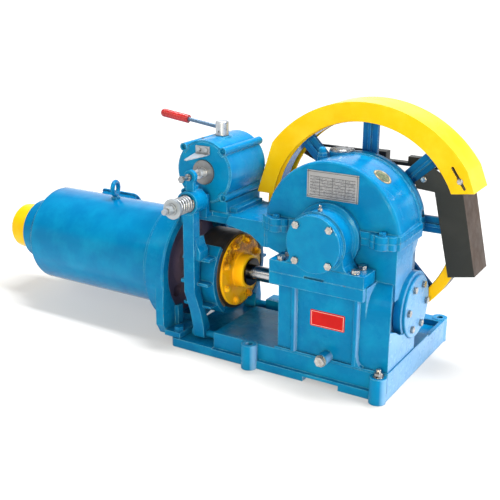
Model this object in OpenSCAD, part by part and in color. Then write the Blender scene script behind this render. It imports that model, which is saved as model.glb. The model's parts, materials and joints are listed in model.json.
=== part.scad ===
// Geared elevator traction machine: worm gear, sheave, drum brake and motor.
// The main shaft lies along Y, the worm and motor line lies along X.

/* [Main sizes] */
// Height of the main shaft above the floor
shaft_h = 420; // [420:1:424]
// Centre distance of worm and worm wheel
centre_d = 205; // [205:0.5:206]
// Radius of the sheave over its flanges
sheave_r = 320; // [300:1:325]
// Width of the sheave rim
sheave_w = 62; // [58:1:66]
// Number of rope grooves
grooves = 4; // [3:1:4]
// Number of spokes
spokes = 8; // [8:1:8]

/* [Motor] */
// Outer radius of the motor frame
motor_r = 163; // [160:1:165]
// Position of the motor's back end on the X axis
motor_back = -1116; // [-1160:1:-1100]

/* [Brake] */
// Radius of the brake drum
drum_r = 125; // [122:0.5:125.2]
// Gap between lining and drum with the brake set
lining_gap = 0.4; // [0.3:0.1:0.6]
// Distance of the arm pivots from the worm axis plane
pivot_y = 150; // [148:1:152]

/* [Base] */
// Hole spacing of the foundation bolts along X
bolt_sx = 410; // [400:1:416]
// Hole spacing of the foundation bolts along Y
bolt_sy = 490; // [480:1:490]
// Radius of the foundation bolt holes
bolt_hole_r = 11; // [9:0.5:12]

/* [Hidden] */
$fn = 96;
H = shaft_h;
W = shaft_h - centre_d;      // worm axis height
SY = 37;                     // main shaft plane to bolt pattern centre
XB = -430;                   // brake arm plane
ZR = H + 47;                 // spring rod height
ZM = H + 124;                // magnet axis height
ZP = 45;                     // arm pivot height
teeth = 45;                  // worm wheel teeth, single start worm
rp2 = 170;                   // pitch radius of the wheel
lead = 2 * PI * rp2 / teeth; // worm lead
blue = [0.02, 0.42, 0.72];
yellow = [0.96, 0.80, 0.05];
steel = [0.72, 0.73, 0.75];
dark = [0.16, 0.16, 0.17];
iron = [0.30, 0.30, 0.31];
bronze = [0.72, 0.52, 0.25];
red = [0.80, 0.08, 0.08];

// ---------- helpers ----------
module place() translate([0, -SY, 0]) children();
// cylinder along X from x0 to x1, at (y, z)
module cx(r, x0, x1, y = 0, z = 0) translate([x0, y, z]) rotate([0, 90, 0]) cylinder(r = r, h = x1 - x0);
// cylinder along Y from y0 to y1, at (x, z)
module cy(r, y0, y1, x = 0, z = 0) translate([x, y0, z]) rotate([-90, 0, 0]) cylinder(r = r, h = y1 - y0);
// cylinder along Z
module cz(r, z0, z1, x = 0, y = 0) translate([x, y, z0]) cylinder(r = r, h = z1 - z0);
// box from low corner to high corner
module bx(a, b) translate(a) cube([b[0] - a[0], b[1] - a[1], b[2] - a[2]]);
// outline in X and Z, extruded from y0 to y1
module yz(pts, x0, x1) translate([x0, 0, 0]) rotate([90, 0, 90]) linear_extrude(x1 - x0) polygon(pts);
// profile in X and Z, drawn from y0 to y1
module xz(pts, y0, y1) translate([0, y1, 0]) rotate([90, 0, 0]) linear_extrude(y1 - y0) polygon(pts);
// outline in Y and Z, extruded from x0 to x1
module yz(pts, x0, x1) translate([x0, 0, 0]) rotate([90, 0, 90]) linear_extrude(x1 - x0) polygon(pts);
// turned profile [r, y] about the Y axis at height z
module turn_y(pts, z) translate([0, 0, z]) rotate([-90, 0, 0]) rotate_extrude() polygon([for (p = pts) [p[0], p[1]]]);
// turned profile [r, x] about the X axis at height z
module turn_x(pts, z) translate([0, 0, z]) rotate([0, 90, 0]) rotate_extrude() polygon([for (p = pts) [p[0], p[1]]]);
// hex head bolt, head up, shank down from z = 0
module bolt(d, l, af, hh) {
  translate([0, 0, -l]) cylinder(d = d, h = l + 0.5);
  cylinder(d = af / cos(30), h = hh, $fn = 6);
}
module nut(d, af, hh) difference() {
  cylinder(d = af / cos(30), h = hh, $fn = 6);
  translate([0, 0, -1]) cylinder(d = d, h = hh + 2);
}
module rpos(n, r, a0 = 0) for (i = [0:n - 1]) rotate(a0 + i * 360 / n) translate([r, 0, 0]) children();

// ---------- base ----------
bolt_y0 = SY - bolt_sy / 2;
bolt_y1 = SY + bolt_sy / 2;
module base_holes(r, z0, z1) for (x = [-bolt_sx / 2, bolt_sx / 2], y = [bolt_y0, bolt_y1]) cz(r, z0, z1, x, y);
foot_pts = [[-512, -178], [-512, 178]];
module base() color(blue) difference() {
  union() {
    bx([-340, -193, 0], [226, 55, 75]);
    bx([-250, 54, 0], [226, 289, 75]);
    bx([-342, -206, 0], [226, -190, 25]);
    bx([-478, -206, 0], [-340, 206, 28]);
    bx([-495, -189, 0], [-470, 189, 28]);
    bx([-342, 125, 0], [-249, 178, 75]);
    cz(17, 0, 28, -478, -189);
    cz(17, 0, 28, -478, 189);
    base_holes(24, 0, 77);
    bx([-128, -192, 74], [226, 122, 82]);
  }
  base_holes(bolt_hole_r, -1, 81);
  bx([-27, -207, -1], [85, -120, 15]);
  for (x = [-322, -178, -44, 90]) bx([x, -175, -1], [x + 118, -62, 52]);
  for (x = [-322, -178, -44, 90]) bx([x, -44, -1], [x + 118, 38, 52]);
  for (x = [-178, -44, 90]) bx([x, 72, -1], [x + 118, 172, 44]);
  for (x = [-178, -44, 90]) bx([x, 186, -1], [x + 118, 255, 44]);
  bx([130, 132, 56], [214, 250, 90]);
  bx([-40, 132, 56], [-65 + 180, 272, 90]);
  bx([-238, 132, 56], [-60, 250, 90]);
  for (p = foot_pts) cz(9, -1, 30, p[0] + 32, p[1]);
  for (s = [-1, 1]) cx(12.02, -345, -300, s * pivot_y, ZP);
}
// ---------- gear case ----------
HP = H + 11;
drain_z = 88;
pb = [[-163, -130], [163, -130], [-177, 98], [177, 98]];
module parting_outline() {
  translate([-212, -124]) square([425, 166]);
  translate([-198, 40]) square([396, 18]);
  translate([-192, 57]) square([384, 58]);
  for (s = [-1, 1]) {
    translate([s * 163, -130]) circle(21);
    translate([s * 138, -126]) circle(12);
    translate([s * 189, -124]) circle(14);
  }
}
module chamber_cuts() {
  translate([0, 0, H]) rotate([-90, 0, 0]) translate([0, 0, -95]) cylinder(r = 188, h = 142);
  cy(48, -130, -90, 0, H);
  cy(75, 78, 120, 0, H);
  cy(50, 40, 80, 0, H);
}
module lower_housing() color(blue) difference() {
  union() {
    bx([-121, -185, 82], [150, 115, 313]);
    bx([-145, -200, 277], [146, -120, 313]);
    yz([[-185, 82], [-185, 200], [-143, 186], [-114, 169], [-87, 160], [10, 150], [10, 82]], 149, 222);
    intersection() {
      yz(concat([[10, 82], [-185, 82], [-185, 224]], [for (a = [10:10:80]) [-95 - 90 * cos(a), 224 + 90 * sin(a)]], [[-95, 314], [10, 314]]), 149, 223);
      linear_extrude(400) polygon([[149, -186], [222, -186], [222, -184], [191, -100], [191, 11], [149, 11]]);
    }
    cx(94, 118, 200, 0, W);
    cx(102, 196, 218, 0, W);
    cx(64, -140, -120, 0, W);
    xz([[-203, HP], [-203, 352], [-135, 330], [-121, 318], [-121, 262], [203, 262], [203, HP]], -115, 5);
    intersection() {
      turn_y([[0, 4], [198, 4], [198, 57], [172, 62], [170, 115], [0, 115]], H);
      bx([-203, 0, 230], [203, 120, HP]);
    }
    bx([-212, -112, H - 72], [-200, 112, HP - 18]);
    translate([0, 0, HP - 19]) linear_extrude(19) parting_outline();
    bx([149, 92, 250], [170, 115, HP - 10]);
    for (x = [-67, 125]) {
      bx([x - 8, -193, 82], [x + 8, -184, 278]);
      cz(8, 82, 278, x, -193);
    }
    cy(17.9, -222, -184, 38, drain_z);
    xz([[124, 112], [133, 112], [136, 98], [143, 88], [153, 82], [124, 82]], -199, -184);
  }
  translate([-250, -200, HP]) cube([500, 400, 120]);
  chamber_cuts();
  cx(92.5, 218.1, 223, 0, W);
  cy(98, -160, -115.2, 0, H);
  turn_y([[278, 90], [500, 90], [500, 160], [278, 160]], H);
  bx([-95, -90, 110], [122, 76, 300]);
  cx(50, -122, -90, 0, W);
  cx(42, -141, -120, 0, W);
  cx(50, 120, 219, 0, W);
  for (p = pb) cz(6.3, HP - 30, HP + 1, p[0], p[1]);
  for (x = [-114, 114], y = [-184, -140]) cz(7.2, 275, 314, x, y);
  for (s = [-1, 1], z = [H - 56, H - 32]) cx(6, -213, -190, s * 66, z);
  translate([0, 0, W]) rotate([0, 90, 0]) rpos(6, 68, 148) translate([0, 0, 190]) cylinder(r = 6.2, h = 30);
  cy(9, -223, -180, 38, drain_z);
  bx([0, -193.2, 60], [80, -150, 82]);
}
module upper_case() color(blue) difference() {
  union() {
    intersection() {
      turn_y([[0, -115], [198, -115], [204, -113.5], [208.5, -109.5], [210, -104], [200, 54], [200, 57],
        [203.5, 58.5], [203.5, 63.5], [200, 65], [200, 75], [202, 77.5], [203, 79], [203, 94], [201, 97], [196, 100], [196, 110], [191, 115], [0, 115]], H);
      translate([-250, -150, HP]) cube([500, 300, 260]);
    }
    translate([0, 0, HP]) linear_extrude(20) parting_outline();
    cz(38, H + 150, H + 204, -52, 58);
    cz(15, H + 140, H + 190, -98, 22);
  }
  chamber_cuts();
  cy(98, -160, -115.2, 0, H);
  cz(27, H + 120, H + 205, -52, 58);
  cz(7, H + 120, H + 191, -98, 22);
  for (p = pb) cz(6.3, HP - 1, H + 60, p[0], p[1]);
  for (s = [-1, 1]) { cz(14, HP + 20, HP + 42, s * 177, 98); bx([s > 0 ? 177 : -215, 84, HP + 20], [s > 0 ? 215 : -177, 112, HP + 42]); }
  for (s = [-1, 1]) bx([s > 0 ? 193 : -230, 66, HP - 1], [s > 0 ? 230 : -193, 130, H + 90]);
  for (x = [-68, 77], z = [H + 108, H + 174]) cy(2.1, -116, -108, x, z);
}
module parting_bolts() color(steel) for (p = pb) translate([p[0], p[1], HP + 20]) {
  cylinder(r = 11.5, h = 1.6);
  translate([0, 0, 1.6]) bolt(12, 44, 18, 7);
}
module front_bearing_housing() color(blue) difference() {
  union() {
    turn_y([[0, -209], [82, -209], [83, -142], [88, -136], [97, -133], [97, -116], [0, -116]], H);
    bx([-145, -200, 313.2], [146, -125, 349]);
    xz([[-98, 345], [-84, 362], [-78, 395], [78, 395], [84, 362], [98, 345]], -198, -128);
    cy(88, -199, -196, 0, H);
    cz(9, H + 70, H + 86, 0, -180);
  }
  cy(62, -210, -145, 0, H);
  cy(46, -150, -115, 0, H);
  for (x = [-114, 114], y = [-184, -140]) cz(7.2, 312, 350, x, y);
  for (x = [-50.5, 50.5], z = [-50.5, 50.5]) cy(5.2, -210, -185, x, H + z);
  bx([-33, -201, 313], [27, -193, 319]);
  cz(3.2, H + 50, H + 87, 0, -180);
}
module front_bearing_cover() color(blue) difference() {
  union() {
    turn_y([[0, -221], [79, -221], [81.2, -220.2], [82, -218], [82, -209.2], [0, -209.2]], H);
    cy(61.8, -209.5, -204, 0, H);
  }
  for (x = [-50.5, 50.5], z = [-50.5, 50.5]) cy(5.2, -222, -203, x, H + z);
  cy(54, -206, -203.5, 0, H);
}
module cover_bolts() color(steel) for (x = [-50.5, 50.5], z = [-50.5, 50.5])
  translate([x, -221, H + z]) rotate([90, 0, 0]) bolt(10, 32, 19, 7);
module foot_bolts() color(steel) for (x = [-114, 114], y = [-184, -140])
  translate([x, y, 349]) { cylinder(d = 26, h = 2.5); translate([0, 0, 2]) bolt(14, 60, 22, 9); }
module grease_nipple() color(steel) translate([0, -180, H + 86]) {
  cylinder(d = 12 / cos(30), h = 7, $fn = 6);
  translate([0, 0, -10]) cylinder(r = 3, h = 20);
  translate([0, 0, 10]) cylinder(r1 = 3, r2 = 4.2, h = 3);
  translate([0, 0, 13]) sphere(r = 4.2, $fn = 32);
}
// ball bearing along Z: two races and a ring of balls held by the cage
module bearing(ri, ro, w) {
  rm = (ri + ro) / 2; rb = min(w, ro - ri) * 0.30;
  difference() {
    union() {
      difference() { cylinder(r = ro, h = w); translate([0, 0, -1]) cylinder(r = rm + rb * 0.55, h = w + 2); }
      difference() { cylinder(r = rm - rb * 0.55, h = w); translate([0, 0, -1]) cylinder(r = ri, h = w + 2); }
      translate([0, 0, w * 0.3]) difference() { cylinder(r = rm + rb * 0.6, h = w * 0.4); translate([0, 0, -1]) cylinder(r = rm - rb * 0.6, h = w); }
    }
  }
}
module main_bearings() color(steel) {
  translate([0, -203, H]) rotate([-90, 0, 0]) bearing(35.25, 61.9, 52);
  translate([0, 80, H]) rotate([-90, 0, 0]) bearing(40.25, 74.9, 34);
}
module line_bearings() color(steel) {
  translate([-119, 0, W]) rotate([0, 90, 0]) bearing(24.25, 49.9, 23);
  translate([150, 0, W]) rotate([0, 90, 0]) bearing(24.25, 49.9, 40);
  translate([-596, 0, W]) rotate([0, 90, 0]) bearing(30.25, 54.9, 26);
  translate([motor_back + 12, 0, W]) rotate([0, 90, 0]) bearing(27.25, 49.9, 24);
}
module worm_end_cap() color(blue) difference() {
  union() {
    turn_x([[0, 218.2], [92, 218.2], [92, 225.5], [90, 227.5], [0, 227.5]], W);
    cx(49.8, 200, 219, 0, W);
  }
  cx(40, 199, 214, 0, W);
  translate([0, 0, W]) rotate([0, 90, 0]) rpos(6, 68, 148) translate([0, 0, 190]) cylinder(r = 6.2, h = 60);
}
module worm_end_cap_bolts() color(steel) translate([0, 0, W]) rotate([0, 90, 0]) rpos(6, 68, 148)
  translate([0, 0, 227.5]) bolt(12, 30, 18, 8);
module worm_seal_cover() color(blue) difference() {
  turn_x([[0, -150], [52, -150], [56, -148], [56, -140.2], [0, -140.2]], W);
  cx(24.4, -151, -140, 0, W);
}
module filler_cap() color(steel) {
  translate([-52, 58, H + 204.2]) cylinder(r = 36, h = 4);
  translate([-52, 58, H + 208]) cylinder(r1 = 24, r2 = 22, h = 1.6);
  translate([-52, 58, H + 189]) cylinder(r = 26.8, h = 16);
  translate([-52, 58, H + 208]) rpos(6, 29.5, 30) cylinder(d = 8, h = 2.4, $fn = 6);
}
module breather_plug() color(blue) translate([-98, 22, H + 190.2]) {
  cylinder(d = 26 / cos(30), h = 9, $fn = 6);
  translate([0, 0, -14]) cylinder(r = 6.8, h = 15);
  translate([0, 0, 9]) cylinder(r = 11, h = 12);
  translate([0, 0, 21]) cylinder(r1 = 11, r2 = 8, h = 4);
}
module drain_plug() color(steel) translate([38, -222.2, drain_z]) rotate([90, 0, 0]) {
  translate([0, 0, -26]) cylinder(r = 8.8, h = 27);
  cylinder(r = 17, h = 4);
  cylinder(d = 27 / cos(30), h = 12, $fn = 6);
}
module nameplate() color(steel) {
  bx([-74, -117, H + 102], [82, -115.2, H + 180]);
  for (x = [-68, 77], z = [H + 108, H + 174]) { cy(2, -117.5, -109, x, z); cy(3.6, -118.6, -116.5, x, z); }
}

// ---------- wheel train ----------
module main_shaft() color(steel) difference() {
  union() {
    cy(35, -205, -148, 0, H);
    cy(42, -150, 79, 0, H);
    cy(40, 77, 118, 0, H);
    cy(38, 116, 206, 0, H);
  }
  cy(6, 180, 207, 0, H);
}
module worm_wheel_hub() color(iron) difference() {
  union() {
    cy(66, -45, 45, 0, H);
    cy(150, -12, 12, 0, H);
    difference() { cy(150, -30, 30, 0, H); cy(136, -31, 31, 0, H); }
  }
  cy(42, -46, 46, 0, H);
  for (i = [0:5]) translate([0, 0, H]) rotate([0, i * 60 + 30, 0]) translate([100, -20, 0]) rotate([-90, 0, 0]) cylinder(r = 17, h = 40);
}
function throat(y) = centre_d - sqrt(pow(centre_d - rp2 - 7.5, 2) - y * y);
module worm_wheel_rim() color(bronze) difference() {
  turn_y(concat([[150, -32], [178, -32], [184, -26]], [for (y = [-17:2:17]) [throat(y), y]],
    [[184, 26], [178, 32], [150, 32]]), H);
  for (i = [0:teeth - 1]) translate([0, 0, H]) rotate([0, (i + 0.5) * 360 / teeth, 0]) translate([0, 0, -rp2]) rotate([0, 0, atan(lead / (2 * PI * (centre_d - rp2)))])
    xz([[-2.7, -(-10)], [2.7, 10], [2.7 + 24 * tan(20), -16], [-2.7 - 24 * tan(20), -16]], -40, 40);
}
module sheave() color(blue) difference() {
  y0 = 95; y1 = 95 + sheave_w; ym = (y0 + y1) / 2; ys = 159; r = sheave_r;
  union() {
    turn_y(concat([[290, y0], [r - 1.5, y0], [r, y0 + 1.5]],
      [for (g = [0:grooves - 1]) each [[r, ym + (g - (grooves - 1) / 2) * 14 - 5.2], [r - 9, ym + (g - (grooves - 1) / 2) * 14 - 3.2],
        [r - 11, ym + (g - (grooves - 1) / 2) * 14], [r - 9, ym + (g - (grooves - 1) / 2) * 14 + 3.2], [r, ym + (g - (grooves - 1) / 2) * 14 + 5.2]]],
      [[r, y1 - 1.5], [r - 1.5, y1], [293, y1], [290, y1 - 3], [287, y1 - 12], [286, y0 + 3], [288, y0]]), H);
    cy(74, ys - 31, ys + 37, 0, H);
    for (i = [0:spokes - 1]) translate([0, 0, H]) rotate([0, i * 360 / spokes, 0]) {
      translate([-24, ys - 22, 60]) cube([48, 12, 230]);
      translate([-5, ys - 31, 60]) cube([10, 10, 229]);
      rotate([0, -90, 0]) translate([0, 0, -8]) linear_extrude(16) polygon([[60, ys - 12], [60, ys + 30], [110, ys + 24], [288, ys - 5], [288, ys - 12]]);
    }
  }
  cy(38, 120, 200, 0, H);
}

// ---------- worm line ----------
module worm_shaft() color(steel) {
  cx(24, -382, 196, 0, W);
  cx(44, -325, -319, 0, W);
}
thr_n = 24;
thr_turns = 6;
// corner points of the thread's section: [radius, offset along the axis]
thr_sec = [[25, -8.4], [42.5, -2.4], [42.5, 2.4], [25, 8.4]];
module worm_thread() {
  n = thr_n * thr_turns;
  pts = [for (i = [0:n], s = thr_sec) let (a = i * 360 / thr_n, x = lead * (i / thr_n - (thr_turns - 1) / 2))
    [x + s[1], -s[0] * sin(a), s[0] * cos(a)]];
  faces = concat([[3, 2, 1, 0]], [[4 * n, 4 * n + 1, 4 * n + 2, 4 * n + 3]],
    [for (i = [0:n - 1], k = [0:3]) let (a = 4 * i + k, b = 4 * i + (k + 1) % 4) each [[a, b, a + 4], [b, b + 4, a + 4]]]);
  polyhedron(points = pts, faces = faces, convexity = 10);
}
module worm() color(steel) translate([0, 0, W]) difference() {
  union() {
    worm_thread();
    translate([-84, 0, 0]) rotate([0, 90, 0]) cylinder(r = 26, h = 168, $fn = 72);
  }
  translate([-90, 0, 0]) rotate([0, 90, 0]) cylinder(r = 24.05, h = 180, $fn = 96);
}
module coupling_flange() color(yellow) difference() {
  turn_x([[0, -368], [115, -368], [115, -362], [113, -360], [57, -360], [54, -357], [54, -328], [51, -325.2], [0, -325.2]], W);
  cx(24, -369, -325, 0, W);
  translate([0, 0, W]) rotate([0, 90, 0]) rpos(8, 97, 22.5) translate([0, 0, -373]) cylinder(r = 11.2, h = 40);
}
module coupling_pins() color(yellow) translate([0, 0, W]) rotate([0, 90, 0]) rpos(8, 97, 22.5) {
  translate([0, 0, -367.8]) cylinder(r = 11, h = 7.2);
  translate([0, 0, -383]) cylinder(r = 7, h = 37);
  translate([0, 0, -359.8]) cylinder(r = 13.5, h = 1.6);
  translate([0, 0, -358.4]) cylinder(d = 20 / cos(30), h = 9, $fn = 6);
}
module brake_drum() color(iron) difference() {
  turn_x([[110, -464], [drum_r, -464], [drum_r, -369], [50, -369], [50, -370.2], [0, -370.2], [0, -440], [50, -440], [54, -388], [108, -384], [112, -390]], W);
  cx(30, -450, -380, 0, W);
  cx(24, -384, -368, 0, W);
  translate([0, 0, W]) rotate([0, 90, 0]) rpos(8, 97, 22.5) translate([0, 0, -385]) cylinder(r = 7.05, h = 30);
}
module rotor() color(steel) {
  cx(30, -640, -385, 0, W);
  cx(36, motor_back + 60, -630, 0, W);
  cx(27, motor_back - 130, motor_back + 62, 0, W);
  cx(94, motor_back + 110, -740, 0, W);
  cx(86, motor_back + 95, -725, 0, W);
}
module hand_wheel() color(yellow) difference() {
  turn_x([[0, motor_back - 188], [60, motor_back - 188], [72, motor_back - 185], [79, motor_back - 176], [80, motor_back - 168],
    [80, motor_back - 106], [77, motor_back - 104], [0, motor_back - 104]], W);
  difference() { cx(68, motor_back - 170, motor_back - 103, 0, W); cx(40, motor_back - 171, motor_back - 102, 0, W); }
  cx(27, motor_back - 130, motor_back - 100, 0, W);
}
// ---------- motor ----------
module motor_frame() color(blue) difference() {
  turn_x([[0, motor_back], [motor_r - 1, motor_back], [motor_r, motor_back + 2], [motor_r, -606], [190, -606], [190, -590.2], [0, -590.2]], W);
  cx(motor_r - 10, motor_back - 1, -604, 0, W);
  cx(150, -610, -590, 0, W);
  cz(8, W + motor_r - 18, W + motor_r + 5, -864, 0);
  translate([0, 0, W]) rotate([0, 90, 0]) rpos(8, 177, 22.5) translate([0, 0, -610]) cylinder(r = 6.2, h = 30);
}
module stator() color(iron) difference() {
  cx(motor_r - 10, motor_back + 70, -690, 0, W);
  cx(95, motor_back + 60, -680, 0, W);
  difference() { cx(motor_r, motor_back + 60, motor_back + 105, 0, W); cx(128, motor_back + 60, motor_back + 106, 0, W); }
  difference() { cx(motor_r, -735, -680, 0, W); cx(128, -736, -679, 0, W); }
}
module motor_end_shield() color([0.26, 0.20, 0.30]) difference() {
  union() {
    turn_x([[0, -602], [149.8, -602], [149.8, -586], [172, -586], [172, -572], [90, -566], [66, -556], [0, -556]], W);
  }
  cx(55, -603, -570, 0, W);
  cx(33, -604, -550, 0, W);
  for (a = [-35, 145]) translate([0, 0, W]) rotate([a, 0, 0]) translate([-610, 0, 112]) rotate([0, 90, 0]) cylinder(r = 20, h = 60);
}
module motor_rear_cowl() color(blue) difference() {
  turn_x([[0, motor_back - 96], [104, motor_back - 96], [106, motor_back - 94], [106, motor_back - 58], [112, motor_back - 50], [160, motor_back - 2], [motor_r, motor_back - 0.2],
    [152.8, motor_back - 0.2], [152.8, motor_back + 40], [0, motor_back + 40]], W);
  turn_x([[33, motor_back - 86], [96, motor_back - 86], [96, motor_back - 54], [142, motor_back - 8], [142, motor_back + 2], [33, motor_back + 2]], W);
  turn_x([[60, motor_back + 9], [144, motor_back + 9], [144, motor_back + 41], [60, motor_back + 41]], W);
  cx(50.05, motor_back + 10, motor_back + 41, 0, W);
  cx(33, motor_back - 97, motor_back + 41, 0, W);
}
module terminal_box() color(blue) translate([-1020, 0, W]) rotate([-50, 0, 0]) {
  difference() {
    union() {
      for (x = [14, 141], y = [-28, 28]) {
        translate([x, y, 158]) cylinder(r = 14, h = 22);
        translate([x, y, 179.5]) cylinder(r = 18, h = 5);
      }
      translate([0, -28, 158]) cube([155, 56, 22]);
      translate([14, -42, 158]) cube([127, 84, 22]);
      translate([-4, -28, 179.5]) cube([163, 56, 5]);
      translate([14, -46, 179.5]) cube([127, 92, 5]);
      translate([20, -32, 140]) cube([115, 64, 25]);
    }
    cx(motor_r + 0.2, -100, 250, 0, 0);
  }
  for (x = [12, 143], y = [-30, 30]) translate([x, y, 184.4]) cylinder(d = 9, h = 3, $fn = 6);
}
module eye_bolt() color(blue) translate([-864, 0, W + motor_r]) rotate([0, 0, 14]) {
  translate([0, 0, -9]) cylinder(r = 7.8, h = 20);
  translate([0, 0, 0.2]) cylinder(r = 15, h = 6);
  translate([0, 0, 34.5]) rotate([0, 90, 0]) rotate_extrude() translate([22, 0]) circle(r = 7.6, $fn = 32);
}
module motor_adapter() color(blue) difference() {
  union() {
    turn_x([[168, -590], [203, -590], [206, -587], [206, -524], [202, -519], [0, -519], [0, -560], [168, -562]], W);
    yz([[-196, 44], [-188, 30], [-188, 28.2], [-96, 28.2], [-96, 60], [-150, W], [-200, W], [-206, 150], [-206, 60]], -548, -519);
    yz([[196, 44], [188, 30], [188, 28.2], [96, 28.2], [96, 60], [150, W], [200, W], [206, 150], [206, 60]], -548, -519);
    for (s = [-1, 1]) bx([-520, s > 0 ? 100 : -200, 28.2], [-462, s > 0 ? 200 : -100, 46]);
    for (s = [-1, 1]) yz([[s * 120, 40], [s * 120, 110], [s * 146, 110], [s * 146, 40]], -540, -505);
    bx([-560, -110, W + 150], [-519, 110, H + 4]);
  }
  cx(176, -566, -515, 0, W);
  cx(172.3, -592, -560, 0, W);
  for (p = foot_pts) cz(9, 20, 60, p[0] + 32, p[1]);
  for (y = [-84, 84]) cx(6.2, -545, -510, y, H - 32);
  translate([0, 0, W]) rotate([0, 90, 0]) rpos(8, 177, 22.5) translate([0, 0, -600]) cylinder(r = 6.2, h = 25);
  cx(178.5, -575, -560, 0, W);
}
module bracket_bolts() color(steel) {
  for (p = foot_pts) translate([p[0] + 32, p[1], 46]) { cylinder(r = 17, h = 2.5); translate([0, 0, 2]) bolt(17.6, 46, 27, 11); }
  for (s = [-1, 1]) translate([-507, s * 84, H - 32]) rotate([0, 90, 0]) bolt(12, 30, 19, 8);
  for (s = [-1, 1], z = [H - 56, H - 32]) translate([-224, s * 66, z]) rotate([0, -90, 0]) bolt(12, 30, 19, 8);
}
// casting that carries the magnet and ties adapter and gear case together
cheek = [[-348, H - 23], [-335, H + 4], [-212.2, H + 4], [-212.2, H - 72], [-226, H - 66], [-260, H - 42]];
module magnet_bridge() color(blue) difference() {
  union() {
    xz(cheek, -112, -98);
    xz(cheek, 78, 90);
    bx([-518.8, -96, H - 10], [-334, 96, H + 4]);
    bx([-335, -112, H - 10], [-212.2, 90, H + 4]);
    bx([-224, -112, H - 72], [-212.2, 90, H - 8]);
    bx([-518.8, -104, H - 46], [-507, 104, H + 4]);
    for (s = [-1, 1]) bx([-518.8, s > 0 ? 58 : -70, H - 38], [-330, s > 0 ? 70 : -58, H - 8]);
    for (s = [-1, 1]) bx([-454, s > 0 ? 92 : -128, H - 10], [-406, s > 0 ? 128 : -92, H + 4]);
    for (s = [-1, 1]) bx([-454, s > 0 ? 110 : -128, H - 10], [-406, s > 0 ? 128 : -110, ZR + 15]);
    bx([-500, -92, H + 3], [-355, 92, H + 39]);
    bx([-355.5, -76, H + 3], [-330, 76, H + 18]);
  }
  cy(96.6, -100, 104, XB, ZM);
  for (s = [-1, 1]) cy(8, s > 0 ? 109 : -130, s > 0 ? 130 : -109, XB, ZR);
  for (s = [-1, 1]) cx(6.2, -520, -500, s * 84, H - 32);
  for (s = [-1, 1], z = [H - 56, H - 32]) cx(6.2, -230, -200, s * 66, z);
}
// ---------- magnet and lever ----------
module magnet_housing() color(blue) translate([XB, 0, ZM]) difference() {
  union() {
    translate([0, -100, 0]) rotate([-90, 0, 0]) cylinder(r = 96, h = 196);
    translate([0, -104, 0]) rotate([-90, 0, 0]) cylinder(r = 91, h = 204);
    for (a = [45:90:315]) rotate([0, a, 0]) {
      translate([84, -108, -10]) cube([15, 212, 20]);
      translate([99, -108, 0]) rotate([-90, 0, 0]) cylinder(r = 12, h = 212);
    }
    for (x = [-71, 49]) translate([x, -84, -84.8]) cube([22, 168, 34]);
    translate([0, 0, 60]) cylinder(r = 30, h = 35.6);
  }
  translate([0, -90, 0]) rotate([-90, 0, 0]) cylinder(r = 72, h = 176);
  translate([0, -110, 0]) rotate([-90, 0, 0]) cylinder(r = 38, h = 220);
  cz(10.1, 40, 100);
  for (a = [45:90:315]) rotate([0, a, 0]) translate([99, -108.5, 0]) rotate([-90, 0, 0]) cylinder(r1 = 9.8, r2 = 5.5, h = 12);
  for (x = [-14, 12]) translate([x, -110, 69]) rotate([-90, 0, 0]) cylinder(r = 3.1, h = 19);
}
module magnet_coil() color([0.62, 0.34, 0.16]) translate([XB, 0, ZM]) difference() {
  translate([0, -88, 0]) rotate([-90, 0, 0]) cylinder(r = 71.7, h = 172);
  translate([0, -89, 0]) rotate([-90, 0, 0]) cylinder(r = 41, h = 174);
  cz(24, 30, 80);
}
module pointer_plate() color(steel) translate([XB, -104.2, ZM]) {
  translate([-26, -3, 56]) cube([50, 3, 24]);
  translate([0, 0, 56]) rotate([12, 0, 0]) linear_extrude(3) polygon([[-26, 0], [24, 0], [22, -10], [-20, -62], [-28, -60]]);
  for (x = [-14, 12]) translate([x, -3, 69]) rotate([90, 0, 0]) { cylinder(d = 12 / cos(30), h = 5, $fn = 6); translate([0, 0, -16]) cylinder(r = 3, h = 17); }
}
module plunger() {
  rotate([90, 0, 0]) {
    translate([0, 0, 8]) cylinder(r = 36, h = 94);
    translate([0, 0, 100]) cylinder(r = 37, h = 8);
    translate([0, 0, 107]) cylinder(r = 14, h = 28);
  }
}
module front_plunger() color(steel) translate([XB, 0, ZM]) difference() {
  plunger();
  rotate([90, 0, 0]) translate([0, 0, 0]) cylinder(r = 11.2, h = 30);
}
module rear_plunger() color(steel) translate([XB, 0, ZM]) mirror([0, 1, 0]) difference() {
  plunger();
  rotate([90, 0, 0]) translate([0, 0, 0]) cylinder(r = 11.2, h = 30);
}
lever_z = ZM + 97;
module release_lever() color(steel) translate([XB, 0, lever_z]) {
  difference() {
    union() {
      cylinder(r = 20.5, h = 40);
      translate([0, 0, 40]) cylinder(r1 = 20.5, r2 = 18, h = 2.5);
    }
    translate([0, -30, 12]) rotate([-90, 0, 0]) cylinder(r = 3, h = 14);
  }
  translate([0, 0, -51]) cylinder(r = 10, h = 52);
  translate([0, 0, 21]) rotate([0, -83, 0]) cylinder(r = 5.8, h = 160);
}
module lever_grip() color(red) translate([XB, 0, lever_z + 21]) rotate([0, -83, 0]) {
  difference() {
    translate([0, 0, 126]) cylinder(r = 13, h = 92);
    translate([0, 0, 120]) cylinder(r = 5.8, h = 41);
  }
  translate([0, 0, 218]) sphere(r = 13, $fn = 48);
}
// ---------- brake ----------
sh_a = 44;
sh_b = 51;
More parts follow.
